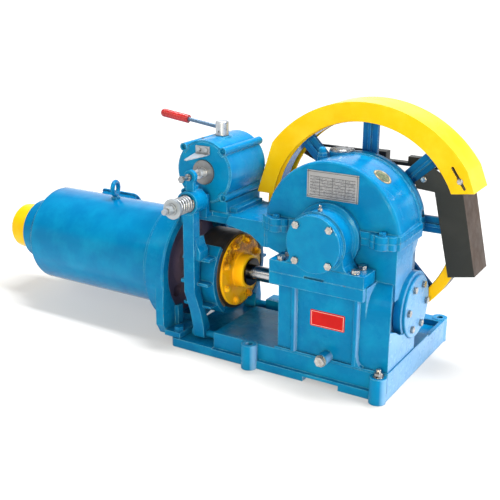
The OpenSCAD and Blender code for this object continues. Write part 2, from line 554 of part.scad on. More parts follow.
// front arm, hinge at (-pivot_y, ZP), reaching up to the plunger
module brake_arm() difference() {
  union() {
    // upright spine, its foot stepping over to the pivot
    intersection() {
      yz([[-172, ZP - 8], [-178, 120], [-192, 185], [-192, ZR - 10], [-160, ZR - 10], [-160, W + 100], [-163, W], [-156, 140], [-136, ZP + 12], [-136, ZP - 4], [-150, ZP - 15.5]], XB - 60, XB + 60);
      xz([[XB + 2, 15], [XB + 40, 15], [XB + 40, 70], [XB + 34, 110], [XB + 21, 190], [XB + 21, ZR], [XB - 17, ZR], [XB - 17, 190], [XB + 2, 62]], -230, -100);
    }
    // web from the spine to the shoe
    yz([[-165, 110], [-166, 345], [-148, 322], [-134, 300], [-137, 160], [-147, 110]], XB - 3, XB + 7);
    cx(16.2, XB + 2, XB + 40, -pivot_y, ZP);
    // spring boss
    cy(36, -194, -136, XB, ZR);
    // lug with the eye for the adjusting bolt
    bx([XB - 13, -178, ZR + 20], [XB + 13, -165, ZM]);
    bx([XB - 8, -168, ZR + 20], [XB + 8, -145, ZR + 48]);
    cy(20, -178, -165, XB, ZM);
    // flare between spine and shoe
    difference() {
      xz([[XB + 20, W + 146], [XB + 26, W + 120], [XB + 36, W + 102], [XB + 36, W + 76], [XB + 20, W + 76]], -182, -138);
      cx(143, XB - 60, XB + 70, 0, W);
    }
    // shoe shell, part of a ring about the worm axis, with ribs
    intersection() {
      difference() { cx(150, XB - 46, XB + 63, 0, W); cx(134.2, XB - 47, XB + 64, 0, W); }
      yz([[-10, W - 10 * tan(sh_b)], [-170, W - 170 * tan(sh_b)], [-170, W + 170 * tan(sh_a)], [-10, W + 10 * tan(sh_a)]], XB - 50, XB + 66);
    }
    for (z = [W - 78, W - 2, W + 74]) intersection() {
      xz([[XB - 40, z - 5], [XB + 58, z - 5], [XB + 58, z + 3], [XB - 40, z + 6]], -180, -100);
      difference() { cx(180, XB - 47, XB + 64, 0, W); cx(140, XB - 48, XB + 65, 0, W); }
      yz([[-176, W - 100], [-176, W + 100], [-100, W + 100], [-100, W - 100]], XB - 50, XB + 66);
    }
  }
  cx(12.05, XB - 60, XB + 60, -pivot_y, ZP);
  cy(13, -200, -130, XB, ZR);
  cy(29, -196, -186, XB, ZR);
  cy(6, -180, -140, XB, ZM);
}
module lining() intersection() {
  difference() { cx(134, XB - 33, XB + 60, 0, W); cx(drum_r + lining_gap, XB - 34, XB + 61, 0, W); }
  yz([[-10, W - 10 * tan(sh_b - 2)], [-170, W - 170 * tan(sh_b - 2)], [-170, W + 170 * tan(sh_a - 2)], [-10, W + 10 * tan(sh_a - 2)]], XB - 50, XB + 66);
}
// adjusting bolt, its nose against the plunger pin
module adj_bolt() {
  cy(5.95, -212, -135.2, XB, ZM);
  translate([XB, -212, ZM]) rotate([90, 0, 0]) cylinder(d = 19 / cos(30), h = 9, $fn = 6);
  translate([XB, -178.1, ZM]) rotate([90, 0, 0]) cylinder(d = 19 / cos(30), h = 9, $fn = 6);
}
module front_brake_arm() color(blue) brake_arm();
module rear_brake_arm() color(blue) mirror([0, 1, 0]) brake_arm();
module front_lining() color([0.35, 0.28, 0.22]) lining();
module rear_lining() color([0.35, 0.28, 0.22]) mirror([0, 1, 0]) lining();
module front_adjusting_bolt() color(steel) adj_bolt();
module rear_adjusting_bolt() color(steel) mirror([0, 1, 0]) adj_bolt();
module arm_pivot_pins() color(steel) for (s = [-1, 1]) {
  cx(12, XB - 3, -305, s * pivot_y, ZP);
  cx(17, XB - 9, XB + 1, s * pivot_y, ZP);
}
module spring_rods() color(steel) for (s = [-1, 1])
  cy(8, s > 0 ? 110 : -308, s > 0 ? 308 : -110, XB, ZR);
module seats() {
  translate([XB, -262.2, ZR]) rotate([90, 0, 0]) difference() {
    union() { cylinder(r = 30, h = 6); cylinder(r = 17, h = 12); }
    translate([0, 0, -1]) cylinder(r = 8, h = 20);
  }
  translate([XB, -274.3, ZR]) rotate([90, 0, 0]) nut(16, 24, 12);
  translate([XB, -286.5, ZR]) rotate([90, 0, 0]) nut(16, 24, 8);
}
module spring_seats() color(steel) { seats(); mirror([0, 1, 0]) seats(); }
sp_turns = 6;
sp_n = 20;
// coil spring about the rod, from y0 to y1
module coil(y0, y1, rm, rw) {
  n = sp_turns * sp_n;
  p = (y1 - y0 - 2 * rw) / sp_turns;
  pts = [for (i = [0:n], k = [0:7]) let (a = i * 360 / sp_n, b = k * 45, y = y0 + rw + p * i / sp_n)
    [(rm + rw * cos(b)) * cos(a), y + rw * sin(b), (rm + rw * cos(b)) * sin(a)]];
  faces = concat([[for (k = [0:7]) k]], [[for (k = [7:-1:0]) 8 * n + k]],
    [for (i = [0:n - 1], k = [0:7]) let (a = 8 * i + k, b = 8 * i + (k + 1) % 8) each [[a, a + 8, b], [b, a + 8, b + 8]]]);
  polyhedron(points = pts, faces = faces, convexity = 10);
}
module front_spring() color(steel) translate([XB, 0, ZR]) coil(-262, -186.2, 21.5, 4.6);
module rear_spring() color(steel) translate([XB, 0, ZR]) mirror([0, 1, 0]) coil(-262, -186.2, 21.5, 4.6);

// ---------- guards ----------
// outline of the guard in X and Z: a round arch on two straight legs, cut off level below
module guard_shape(d = 0) intersection() {
  translate([0, -37]) circle(r = 382 - d);
  polygon([[-364 + d, 0], [-304 + d, 192], [-250 + d, 366], [260 - d, 366], [309 - d, 193], [386 - d, 0]]);
  polygon([[-600, 34], [-150, 34], [0, 60], [200, 101.5], [600, 158], [600, 600], [-600, 600]]);
}
module guard_slab(y0, y1) translate([0, y1, 0]) rotate([90, 0, 0]) linear_extrude(y1 - y0) children();
module sheave_guard() color(yellow) translate([0, 0, H]) difference() {
  union() {
    difference() {
      guard_slab(85, 206) guard_shape();
      guard_slab(84, 207) translate([0, -0.01]) { guard_shape(2.6); translate([-330, 20]) square([630, 120]); }
    }
    difference() {
      union() { guard_slab(85, 87.5) guard_shape(1); guard_slab(203.5, 206) guard_shape(1); }
      cy(299, 84, 88, 0, -11);
      cy(299, 203, 207, 0, -11);
    }
  }
  translate([290, 84, 158.5]) rotate([0, -124.5, 0]) {
    translate([-33.5, 0, -4]) cube([67, 5, 8]);
    for (x = [-33.5, 33.5]) translate([x, 0, 0]) rotate([-90, 0, 0]) cylinder(r = 4, h = 5);
  }
  for (s = [-1, 1]) cy(5.2, 200, 210, s * 282, 152);
}
module guard_frame() color(dark) difference() {
  union() {
    bx([0, 206.2, H + 147], [262, 232, H + 157]);
    bx([95, 206.2, H + 156], [129, 232, H + 176]);
    bx([262, 206.2, H + 134], [302, 212, H + 172]);
    bx([-302, 206.2, H + 134], [-262, 212, H + 183]);
    bx([-263, 206.2, H + 175], [0, 214, H + 182]);
    translate([0, 0, H]) xz([[-270, 152], [-262, 163], [-190, 134], [0, 66], [0, 50], [-190, 118]], 206.2, 214);
    bx([-24, 214, 84], [24, 240, H + 182]);
    bx([-24, 206.2, H + 40], [24, 215, H + 182]);
    bx([-60, 206, 75.2], [60, 288, 84]);
  }
  for (s = [-1, 1]) cy(5.2, 200, 215, s * 282, 152 + H);
  for (s = [-1, 1]) cz(7, 70, 90, s * 42, 262);
}
// black channel round the ropes on the running-off side
rg_t = 12;
module rope_guard() color(dark) translate([0, 0, H]) difference() {
  union() {
    xz([[281, -134], [358, -119], [303, 128], [262, 150], [217, 179], [163, 131], [170, 114], [224, 110]], 88, 91);
    xz([[355, -119.6], [358, -119], [306, 115], [303, 114.4]], 88, 203);
    xz([[281, -134], [358, -119], [306, 115], [232, 100]], 200, 203);
  }
  cy(5.2, 86, 93, 295.5, 150.5);
  cy(5.2, 86, 93, 190, 143);
}
module guard_bolts() color(steel) translate([0, 0, H]) {
  for (p = [[295.5, 150.5, 84.8], [190, 143, 87.8]]) {
    cy(8.5, p[2] - 2, p[2], p[0], p[1]);
    cy(3.9, p[2] - 1, 100, p[0], p[1]);
    translate([p[0], p[2] - 2, p[1]]) rotate([90, 0, 0]) cylinder(d = 13 / cos(30), h = 5.5, $fn = 6);
    translate([p[0], 91.2, p[1]]) rotate([-90, 0, 0]) cylinder(d = 13 / cos(30), h = 6, $fn = 6);
  }
  for (s = [-1, 1]) {
    cy(5, 197, 222, s * 282, 152);
    translate([s * 282, 212.2, 152]) rotate([-90, 0, 0]) cylinder(d = 16 / cos(30), h = 7, $fn = 6);
  }
}
place() base();
place() lower_housing();
place() upper_case();
place() parting_bolts();
place() front_bearing_housing();
place() front_bearing_cover();
place() cover_bolts();
place() foot_bolts();
place() grease_nipple();
place() main_bearings();
place() line_bearings();
place() worm_end_cap();
place() worm_end_cap_bolts();
place() worm_seal_cover();
place() filler_cap();
place() breather_plug();
place() drain_plug();
place() nameplate();
place() motor_frame();
place() stator();
place() motor_end_shield();
place() motor_rear_cowl();
place() terminal_box();
place() eye_bolt();
place() motor_adapter();
place() bracket_bolts();
place() magnet_bridge();
place() magnet_housing();
place() magnet_coil();
place() pointer_plate();
place() spring_rods();
place() spring_seats();
place() front_spring();
place() rear_spring();
place() arm_pivot_pins();
place() sheave_guard();
place() guard_frame();
place() rope_guard();
place() guard_bolts();
place() main_shaft();
place() worm_wheel_hub();
place() worm_wheel_rim();
place() sheave();
place() worm_shaft();
place() worm();
place() coupling_flange();
place() coupling_pins();
place() brake_drum();
place() rotor();
place() hand_wheel();
place() front_brake_arm();
place() front_lining();
place() front_adjusting_bolt();
place() rear_brake_arm();
place() rear_lining();
place() rear_adjusting_bolt();
place() front_plunger();
place() rear_plunger();
place() release_lever();
place() lever_grip();
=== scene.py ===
import bpy, bmesh, json, math
from mathutils import Matrix, Vector

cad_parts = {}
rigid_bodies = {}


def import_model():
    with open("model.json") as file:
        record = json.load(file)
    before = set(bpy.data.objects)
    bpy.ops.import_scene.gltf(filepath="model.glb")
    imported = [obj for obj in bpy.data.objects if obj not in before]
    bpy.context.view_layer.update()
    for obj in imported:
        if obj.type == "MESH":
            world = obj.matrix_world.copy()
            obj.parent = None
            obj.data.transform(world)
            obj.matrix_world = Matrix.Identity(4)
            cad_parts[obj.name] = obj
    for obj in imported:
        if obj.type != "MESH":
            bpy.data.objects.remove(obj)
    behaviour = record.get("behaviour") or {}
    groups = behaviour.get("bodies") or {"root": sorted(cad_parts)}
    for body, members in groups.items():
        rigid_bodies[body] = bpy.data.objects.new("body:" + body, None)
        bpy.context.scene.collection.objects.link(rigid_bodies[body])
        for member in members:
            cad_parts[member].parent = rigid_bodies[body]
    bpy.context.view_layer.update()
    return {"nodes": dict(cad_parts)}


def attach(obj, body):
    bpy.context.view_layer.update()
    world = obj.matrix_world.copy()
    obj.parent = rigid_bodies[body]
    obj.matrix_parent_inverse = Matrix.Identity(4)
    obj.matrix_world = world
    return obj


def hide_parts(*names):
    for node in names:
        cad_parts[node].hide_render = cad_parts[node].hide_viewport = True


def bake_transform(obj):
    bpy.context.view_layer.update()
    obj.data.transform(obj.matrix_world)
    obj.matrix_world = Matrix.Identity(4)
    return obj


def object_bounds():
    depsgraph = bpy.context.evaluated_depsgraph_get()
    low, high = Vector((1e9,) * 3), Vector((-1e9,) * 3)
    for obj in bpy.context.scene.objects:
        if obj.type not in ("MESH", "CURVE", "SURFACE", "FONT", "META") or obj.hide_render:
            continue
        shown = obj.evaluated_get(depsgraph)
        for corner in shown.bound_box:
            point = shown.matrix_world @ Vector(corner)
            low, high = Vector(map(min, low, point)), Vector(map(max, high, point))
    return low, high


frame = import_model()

# ---------------------------------------------------------------- camera
R = (0.85461706, 0.51924172, 0.00421017)
U = (-0.16767883, 0.26828983, 0.9486329)
B = (0.49144023, -0.81142381, 0.31635091)
C = (0.99972, -2.23115, 1.14169)
cam = bpy.data.cameras.new("camera")
cam.lens = 862.508 * 36 / 500
cam.sensor_width = 36
cam.clip_end = 200
cam_ob = bpy.data.objects.new("camera", cam)
bpy.context.scene.collection.objects.link(cam_ob)
cam_ob.matrix_world = Matrix(((R[0], U[0], B[0], C[0]), (R[1], U[1], B[1], C[1]), (R[2], U[2], B[2], C[2]), (0, 0, 0, 1)))
bpy.context.scene.camera = cam_ob
bpy.context.scene.view_settings.view_transform = "Standard"

# ---------------------------------------------------------------- node helpers
class G:
    """small wrapper that builds one node graph"""
    def __init__(self, name):
        self.m = bpy.data.materials.new(name)
        self.m.use_nodes = True
        self.t = self.m.node_tree
        self.bsdf = self.t.nodes["Principled BSDF"]
        self.co = self.n("ShaderNodeTexCoord").outputs["Object"]
    def n(self, kind, **kw):
        node = self.t.nodes.new(kind)
        for k, v in kw.items():
            setattr(node, k, v)
        return node
    def link(self, a, b):
        self.t.links.new(a, b)
    def put(self, sock, v):
        if isinstance(v, bpy.types.NodeSocket):
            self.link(v, sock)
        else:
            sock.default_value = v
    def math(self, op, a, b=0.0, c=None, clamp=False):
        m = self.n("ShaderNodeMath", operation=op, use_clamp=clamp)
        self.put(m.inputs[0], a); self.put(m.inputs[1], b)
        if c is not None: self.put(m.inputs[2], c)
        return m.outputs[0]
    def noise(self, scale, detail=4.0, rough=0.55, dist=0.0, vec=None):
        n = self.n("ShaderNodeTexNoise")
        self.link(vec or self.co, n.inputs["Vector"])
        n.inputs["Scale"].default_value = scale
        n.inputs["Detail"].default_value = detail
        n.inputs["Roughness"].default_value = rough
        n.inputs["Distortion"].default_value = dist
        return n.outputs["Fac"]
    def stretch(self, sx, sy, sz):
        m = self.n("ShaderNodeMapping")
        self.link(self.co, m.inputs["Vector"])
        m.inputs["Scale"].default_value = (sx, sy, sz)
        return m.outputs["Vector"]
    def ramp(self, fac, lo, hi, a=0.0, b=1.0):
        m = self.n("ShaderNodeMapRange")
        self.put(m.inputs["Value"], fac)
        m.inputs["From Min"].default_value = lo
        m.inputs["From Max"].default_value = hi
        m.inputs["To Min"].default_value = a
        m.inputs["To Max"].default_value = b
        return m.outputs["Result"]
    def mix(self, fac, a, b):
        m = self.n("ShaderNodeMix", data_type="RGBA")
        self.put(m.inputs[0], fac)
        for s, v in ((m.inputs[6], a), (m.inputs[7], b)):
            if isinstance(v, tuple): v = (*v, 1.0) if len(v) == 3 else v
            self.put(s, v)
        return m.outputs[2]
    def sep(self, v=None):
        s = self.n("ShaderNodeSeparateXYZ")
        self.link(v or self.co, s.inputs[0])
        return s.outputs
    def edge(self, radius=0.003):
        """1 along convex and concave edges, 0 on flat faces"""
        b = self.n("ShaderNodeBevel", samples=4)
        b.inputs["Radius"].default_value = radius
        g = self.n("ShaderNodeNewGeometry")
        d = self.n("ShaderNodeVectorMath", operation="DOT_PRODUCT")
        self.link(b.outputs[0], d.inputs[0]); self.link(g.outputs["Normal"], d.inputs[1])
        return self.ramp(d.outputs["Value"], 0.985, 0.80, 0.0, 1.0)
    def cavity(self, dist=0.05, lo=0.25, hi=0.85):
        a = self.n("ShaderNodeAmbientOcclusion", samples=6)
        a.inputs["Distance"].default_value = dist
        return self.ramp(a.outputs["AO"], hi, lo, 0.0, 1.0)
    def bumps(self, pairs, bevel=0.0):
        """pairs of (height, strength, distance), chained; bevel rounds the edges' shading"""
        last = None
        if bevel:
            b = self.n("ShaderNodeBevel", samples=4)
            b.inputs["Radius"].default_value = bevel
            last = b.outputs[0]
        for h, s, d in pairs:
            k = self.n("ShaderNodeBump")
            k.inputs["Strength"].default_value = s
            k.inputs["Distance"].default_value = d
            self.link(h, k.inputs["Height"])
            if last is not None: self.link(last, k.inputs["Normal"])
            last = k.outputs[0]
        self.link(last, self.bsdf.inputs["Normal"])
    def set(self, **kw):
        for k, v in kw.items():
            self.put(self.bsdf.inputs[k.replace("_", " ")], (*v, 1.0) if isinstance(v, tuple) and len(v) == 3 else v)
        return self.m

def shade(c, k):
    return tuple(min(1.0, x * k) for x in c)

def enamel(name, base, light, dark, shade_and_grime=(0.012, 0.030, 0.055), shade_and_grime_amt=0.35, cast=0.25, rough=(0.16, 0.34), bevel=0.0048, chips=0.62, extra=None, tint=(0.22, 0.72, 1.0), edge_highlight=(0.200, 0.640, 0.860), coat=0.06, coat_rough=0.12):
    """brushed and sprayed enamel over a rough casting, with painted highlights along the edges and painted shade in the
    corners
    """
    g = G(name)
    big = g.noise(2.6, 4.0, 0.55, 0.6)
    mid = g.noise(14.0, 5.0, 0.6)
    col = g.mix(g.ramp(big, 0.35, 0.68), dark, base)
    col = g.mix(g.ramp(mid, 0.42, 0.75, 0.0, 0.35), col, light)
    # painted highlight: a lighter colour along convex and concave edges, patchy by noise; some edges chipped to bare
    # metal
    e = g.edge(bevel)
    en = g.math("MULTIPLY", e, g.ramp(g.noise(38.0, 4.0, 0.6), 0.35, 0.65, 0.15, 0.85))
    col = g.mix(g.math("MULTIPLY", en, 0.80), col, edge_highlight)
    chip = g.math("MULTIPLY", e, g.ramp(g.noise(70.0, 3.0, 0.6), chips, chips + 0.04))
    col = g.mix(chip, col, (0.20, 0.19, 0.18))
    # painted shade in the corners and recesses found by ambient occlusion, patchy by noise; it also stands for oil and
    # dust settled there
    cav = g.cavity()
    dn = g.math("MULTIPLY", cav, g.ramp(g.noise(9.0, 5.0, 0.65), 0.3, 0.7, 0.35, 1.0))
    col = g.mix(g.math("MULTIPLY", dn, shade_and_grime_amt), col, shade_and_grime)
    if extra: col = extra(g, col)
    ro = g.ramp(g.noise(22.0, 4.0, 0.6), 0.3, 0.7, *rough)
    ro = g.math("ADD", ro, g.math("MULTIPLY", dn, 0.25), clamp=True)
    grain = g.noise(55.0, 6.0, 0.6)
    peel = g.noise(210.0, 2.0, 0.5)
    g.bsdf.inputs["Specular IOR Level"].default_value = 0.16
    g.bsdf.inputs["Specular Tint"].default_value = (*tint, 1.0)
    g.bsdf.inputs["Coat Weight"].default_value = coat
    g.bsdf.inputs["Coat Roughness"].default_value = coat_rough
    g.set(Base_Color=col, Roughness=ro)
    g.bumps([(grain, cast, 0.0022), (peel, 0.10, 0.0008)], bevel=bevel)
    return g

BLUE = (0.0003, 0.178, 0.408)
BLUE_L = (0.006, 0.330, 0.560)
BLUE_D = (0.0003, 0.126, 0.320)
YEL = (0.825, 0.530, 0.003)
YEL_L = (0.930, 0.730, 0.050)
YEL_D = (0.790, 0.460, 0.002)

M = {}
M["cast"] = enamel("blue_cast_enamel", BLUE, BLUE_L, BLUE_D, cast=0.30).m
def right_side_light(g, col):
    # painted light: faces turned toward +X are painted paler, most strongly low down, patchy by noise
    n = g.n("ShaderNodeNewGeometry")
    nx = g.sep(n.outputs["Normal"])[0]
    z = g.sep()[2]
    m = g.math("MULTIPLY", g.ramp(nx, 0.55, 0.92), g.ramp(g.noise(7.0, 5.0, 0.65, 0.5), 0.25, 0.60, 0.62, 1.0))
    m = g.math("MULTIPLY", m, g.ramp(z, 0.42, 0.20, 0.25, 1.0))
    return g.mix(g.math("MULTIPLY", m, 0.74), col, (0.240, 0.460, 0.740))
M["cast_end"] = enamel("blue_cast_enamel_right_lit", BLUE, BLUE_L, BLUE_D, cast=0.30, extra=right_side_light).m
M["plate"] = enamel("blue_sheet_enamel", BLUE, BLUE_L, BLUE_D, cast=0.05, shade_and_grime_amt=0.25, rough=(0.12, 0.24), coat=0.12, coat_rough=0.06).m
M["paint_bolt"] = enamel("blue_bolt_enamel", BLUE, BLUE_L, BLUE_D, cast=0.12, bevel=0.0012, shade_and_grime_amt=0.5).m
M["yellow"] = enamel("yellow_enamel", YEL, YEL_L, YEL_D, shade_and_grime=(0.30, 0.17, 0.02), tint=(1.0, 0.85, 0.45), edge_highlight=(1.0, 0.90, 0.28), cast=0.05, shade_and_grime_amt=0.30, rough=(0.12, 0.26), bevel=0.002, chips=0.70).m
def oil(g, col):
    x, y, z = g.sep()
    dz = g.math("SUBTRACT", z, 0.215); dy = g.math("ADD", y, 0.037)
    r = g.math("SQRT", g.math("ADD", g.math("MULTIPLY", dz, dz), g.math("MULTIPLY", dy, dy)))
    # grease thrown out round the nuts, thickest on one side
    n1 = g.noise(46.0, 5.0, 0.7, 0.5)
    side = g.math("MAXIMUM", g.ramp(dz, 0.028, 0.050), g.math("MULTIPLY", g.ramp(g.math("SUBTRACT", dy, dz), 0.075, 0.100), 0.8))
    m = g.math("MULTIPLY", g.math("MULTIPLY", g.ramp(r, 0.055, 0.066), side), g.ramp(n1, 0.40, 0.50))
    m = g.math("MULTIPLY", m, g.math("GREATER_THAN", x, -0.3635))
    brown = g.mix(g.ramp(g.noise(90.0, 4.0, 0.7), 0.35, 0.65), (0.62, 0.20, 0.006), (0.120, 0.032, 0.004))
    return g.mix(g.math("MULTIPLY", m, 0.88), col, brown)
M["oily_yellow"] = enamel("oily_yellow_enamel", (1.0, 0.660, 0.006), (1.0, 0.78, 0.02), (0.96, 0.46, 0.006), shade_and_grime=(0.36, 0.11, 0.01), tint=(1.0, 0.80, 0.35), edge_highlight=(1.0, 0.86, 0.16), extra=oil, cast=0.15, shade_and_grime_amt=0.45, rough=(0.15, 0.40), bevel=0.002, chips=0.60).m

def sheave_extra(g, col):
    x, y, z = g.sep()
    zz = g.math("SUBTRACT", z, 0.420)
    r = g.math("SQRT", g.math("ADD", g.math("MULTIPLY", x, x), g.math("MULTIPLY", zz, zz)))
    ring = g.ramp(g.math("ADD", r, g.math("MULTIPLY", g.noise(60.0, 2.0), 0.0006)), 0.2857, 0.2863)
    ring = g.math("MULTIPLY", ring, g.math("LESS_THAN", y, 0.0600))
    ycol = g.mix(g.ramp(g.noise(6.0, 4.0), 0.35, 0.7), YEL_D, YEL)
    col = g.mix(ring, col, ycol)
    # bare steel where the ropes run
    inner = g.math("MULTIPLY", g.ramp(r, 0.3035, 0.3045), g.math("LESS_THAN", g.math("ABSOLUTE", g.math("SUBTRACT", y, 0.089)), 0.0285))
    return g.mix(inner, col, (0.30, 0.29, 0.27))
M["sheave"] = enamel("sheave_enamel", (0.002, 0.165, 0.450), BLUE_L, (0.006, 0.085, 0.330), cast=0.30, extra=sheave_extra).m

def metal(name, base, dark, rough=(0.18, 0.38), lines=(1, 1, 1), scale=30.0, bump=0.15, rust=0.0, bevel=0.0012, metallic=1.0, band=None):
    g = G(name)
    v = g.stretch(*lines)
    a = g.noise(scale, 6.0, 0.65, 0.2, v)
    b = g.noise(8.0, 4.0, 0.6)
    col = g.mix(g.ramp(a, 0.3, 0.7), dark, base)
    col = g.mix(g.ramp(b, 0.35, 0.7, 0.0, 0.35), col, shade(dark, 0.8))
    # painted shade: colour darkened toward dark brown in corners and recesses found by ambient occlusion
    cav = g.cavity(0.02)
    col = g.mix(g.math("MULTIPLY", cav, 0.55), col, (0.05, 0.04, 0.03))
    if rust:
        rm = g.math("MULTIPLY", g.ramp(g.noise(26.0, 5.0, 0.7), 0.50, 0.68), rust)
        col = g.mix(rm, col, (0.22, 0.10, 0.035))
    if band: col = band(g, col)
    ro = g.ramp(a, 0.25, 0.75, *rough)
    g.set(Base_Color=col, Roughness=ro, Metallic=metallic)
    g.bumps([(a, bump, 0.0006)], bevel=bevel)
    return g.m

M["zinc"] = metal("zinc_plated_steel", (0.46, 0.48, 0.50), (0.24, 0.25, 0.27), rust=0.10)
M["bolt"] = metal("plated_bolts", (0.62, 0.62, 0.60), (0.30, 0.30, 0.30), rust=0.35, scale=60.0)
M["seat"] = metal("plated_spring_seat", (0.42, 0.47, 0.52), (0.31, 0.35, 0.40), rust=0.04, scale=22.0, rough=(0.28, 0.42), metallic=0.60)
M["spring"] = metal("galvanised_spring", (0.47, 0.49, 0.52), (0.26, 0.28, 0.30), rough=(0.28, 0.5), scale=90.0, metallic=0.85)
M["steel"] = metal("turned_steel", (0.66, 0.67, 0.69), (0.40, 0.41, 0.43), lines=(120, 1, 1), scale=6.0, rough=(0.14, 0.32))
def collar(g, col):
    x, y, z = g.sep()
    m = g.math("MULTIPLY", g.math("GREATER_THAN", x, -0.3255), g.math("LESS_THAN", x, -0.3185))
    return g.mix(m, col, (0.015, 0.014, 0.013))
M["worm_shaft"] = metal("ground_worm_shaft", (0.70, 0.71, 0.72), (0.38, 0.39, 0.41), lines=(160, 1, 1), scale=5.0, rough=(0.12, 0.28), band=collar)
def stem(g, col):
    x, y, z = g.sep()
    # brighter steel colour on the stem, within 14.4 mm of the plunger axis
    dx = g.math("ADD", x, 0.430); dz = g.math("SUBTRACT", z, 0.544)
    r = g.math("SQRT", g.math("ADD", g.math("MULTIPLY", dx, dx), g.math("MULTIPLY", dz, dz)))
    bright = g.mix(g.ramp(g.noise(30.0, 4.0, 0.6), 0.35, 0.65), (0.78, 0.80, 0.82), (0.52, 0.55, 0.58))
    return g.mix(g.ramp(r, 0.0144, 0.0148, 1.0, 0.0), col, bright)
M["plunger"] = metal("plunger_steel", (0.33, 0.36, 0.39), (0.17, 0.175, 0.18), lines=(1, 60, 1), scale=8.0, rough=(0.22, 0.46), rust=0.18, metallic=0.75, band=stem)
M["drum"] = metal("brake_drum_iron", (0.085, 0.078, 0.072), (0.038, 0.035, 0.033), lines=(40, 1, 1), scale=7.0, rough=(0.30, 0.55), metallic=0.7, rust=0.12)
M["iron"] = metal("machined_iron", (0.20, 0.20, 0.21), (0.11, 0.11, 0.115), rough=(0.35, 0.6), metallic=0.8)
M["bronze"] = metal("bronze_rim", (0.62, 0.42, 0.17), (0.42, 0.27, 0.10), rough=(0.2, 0.42))
M["copper"] = metal("varnished_copper", (0.50, 0.22, 0.09), (0.30, 0.12, 0.05), lines=(1, 90, 1), scale=6.0, rough=(0.25, 0.5), metallic=0.8)

def dark_paint(name, base, dusty, side=None, rough=(0.32, 0.55)):
    g = G(name)
    a = g.noise(5.0, 5.0, 0.65, 0.8)
    col = g.mix(g.ramp(a, 0.40, 0.72), base, dusty)
    e = g.edge(0.002)
    col = g.mix(g.math("MULTIPLY", e, g.ramp(g.noise(40.0, 4.0), 0.4, 0.7, 0.1, 0.6)), col, (0.16, 0.15, 0.14))
    if side:
        n = g.n("ShaderNodeNewGeometry")
        nx = g.sep(n.outputs["Normal"])[0]
        m = g.ramp(nx, 0.70, 0.90)
        brown = g.mix(g.ramp(g.noise(11.0, 5.0, 0.7, 0.4), 0.3, 0.7), side, shade(side, 0.6))
        col = g.mix(m, col, brown)
    ro = g.ramp(g.noise(30.0, 4.0), 0.3, 0.7, *rough)
    g.bsdf.inputs["Specular IOR Level"].default_value = 0.14
    g.set(Base_Color=col, Roughness=ro)
    g.bumps([(g.noise(60.0, 5.0), 0.12, 0.001), (g.noise(240.0, 2.0), 0.08, 0.0006)], bevel=0.002)
    return g.m
M["black"] = dark_paint("black_frame_paint", (0.022, 0.024, 0.024), (0.040, 0.042, 0.042))
M["rope_guard"] = dark_paint("black_sheet_paint", (0.024, 0.027, 0.027), (0.036, 0.039, 0.038), side=(0.070, 0.046, 0.034))
M["plum"] = dark_paint("dark_end_shield", (0.105, 0.085, 0.150), (0.155, 0.120, 0.200), rough=(0.4, 0.6))
def lever_paint(g, col):
    x, y, z = g.sep()
    # the rod is blued steel, the head stays bright
    dx = g.math("ADD", x, 0.430); dy = g.math("ADD", y, 0.037)
    rr = g.math("SQRT", g.math("ADD", g.math("MULTIPLY", dx, dx), g.math("MULTIPLY", dy, dy)))
    return g.mix(g.ramp(rr, 0.0206, 0.0210), col, (0.085, 0.150, 0.240))
M["lever"] = metal("lever_steel", (0.60, 0.62, 0.64), (0.30, 0.33, 0.37), rough=(0.22, 0.40), band=lever_paint, metallic=0.6)

g = G("brake_lining")
a = g.noise(70.0, 6.0, 0.7); sp = g.noise(260.0, 3.0, 0.6)
col = g.mix(g.ramp(a, 0.35, 0.7), (0.12, 0.085, 0.055), (0.24, 0.18, 0.12))
col = g.mix(g.ramp(sp, 0.62, 0.66), col, (0.45, 0.36, 0.20))
g.set(Base_Color=col, Roughness=g.ramp(a, 0.3, 0.7, 0.7, 0.92)); g.bumps([(a, 0.35, 0.0008), (sp, 0.2, 0.0004)])
M["lining"] = g.m

g = G("red_grip")
a = g.noise(16.0, 5.0, 0.6); b = g.noise(140.0, 3.0)
col = g.mix(g.ramp(a, 0.35, 0.7), (0.28, 0.003, 0.004), (0.40, 0.008, 0.008))
# painted shade: darker red in the crevices found by ambient occlusion
col = g.mix(g.math("MULTIPLY", g.cavity(0.01), 0.5), col, (0.10, 0.005, 0.005))
g.bsdf.inputs["Coat Weight"].default_value = 0.2
g.bsdf.inputs["Coat Roughness"].default_value = 0.12
g.set(Base_Color=col, Roughness=g.ramp(b, 0.3, 0.7, 0.20, 0.40)); g.bumps([(b, 0.10, 0.0008)], bevel=0.0015)
M["grip"] = g.m

# data plate left blank: brushed plate with ruled empty fields
g = G("blank_data_plate")
x, y, z = g.sep()
u = g.ramp(x, -0.074, 0.082); v = g.ramp(z, 0.522, 0.600)
brush = g.noise(3.0, 6.0, 0.7, 0.0, g.stretch(6, 1, 260))
rows = g.math("FRACT", g.math("MULTIPLY", v, 9.0))
line = g.math("LESS_THAN", rows, 0.16)
inx = g.math("MULTIPLY", g.math("GREATER_THAN", u, 0.06), g.math("LESS_THAN", u, 0.94))
inz = g.math("MULTIPLY", g.math("GREATER_THAN", v, 0.08), g.math("LESS_THAN", v, 0.80))
area = g.math("MULTIPLY", inx, inz)
cols = g.math("LESS_THAN", g.math("FRACT", g.math("ADD", g.math("MULTIPLY", u, 4.0), 0.02)), 0.04)
ink = g.math("MULTIPLY", area, g.math("MAXIMUM", line, cols))
bx = g.math("MAXIMUM", g.math("ABSOLUTE", g.math("SUBTRACT", u, 0.5)), 0.0)
bz = g.math("ABSOLUTE", g.math("SUBTRACT", v, 0.5))
bord = g.math("MAXIMUM", g.math("MULTIPLY", g.math("GREATER_THAN", bx, 0.470), g.math("LESS_THAN", bx, 0.482)), g.math("MULTIPLY", g.math("GREATER_THAN", bz, 0.445), g.math("LESS_THAN", bz, 0.468)))
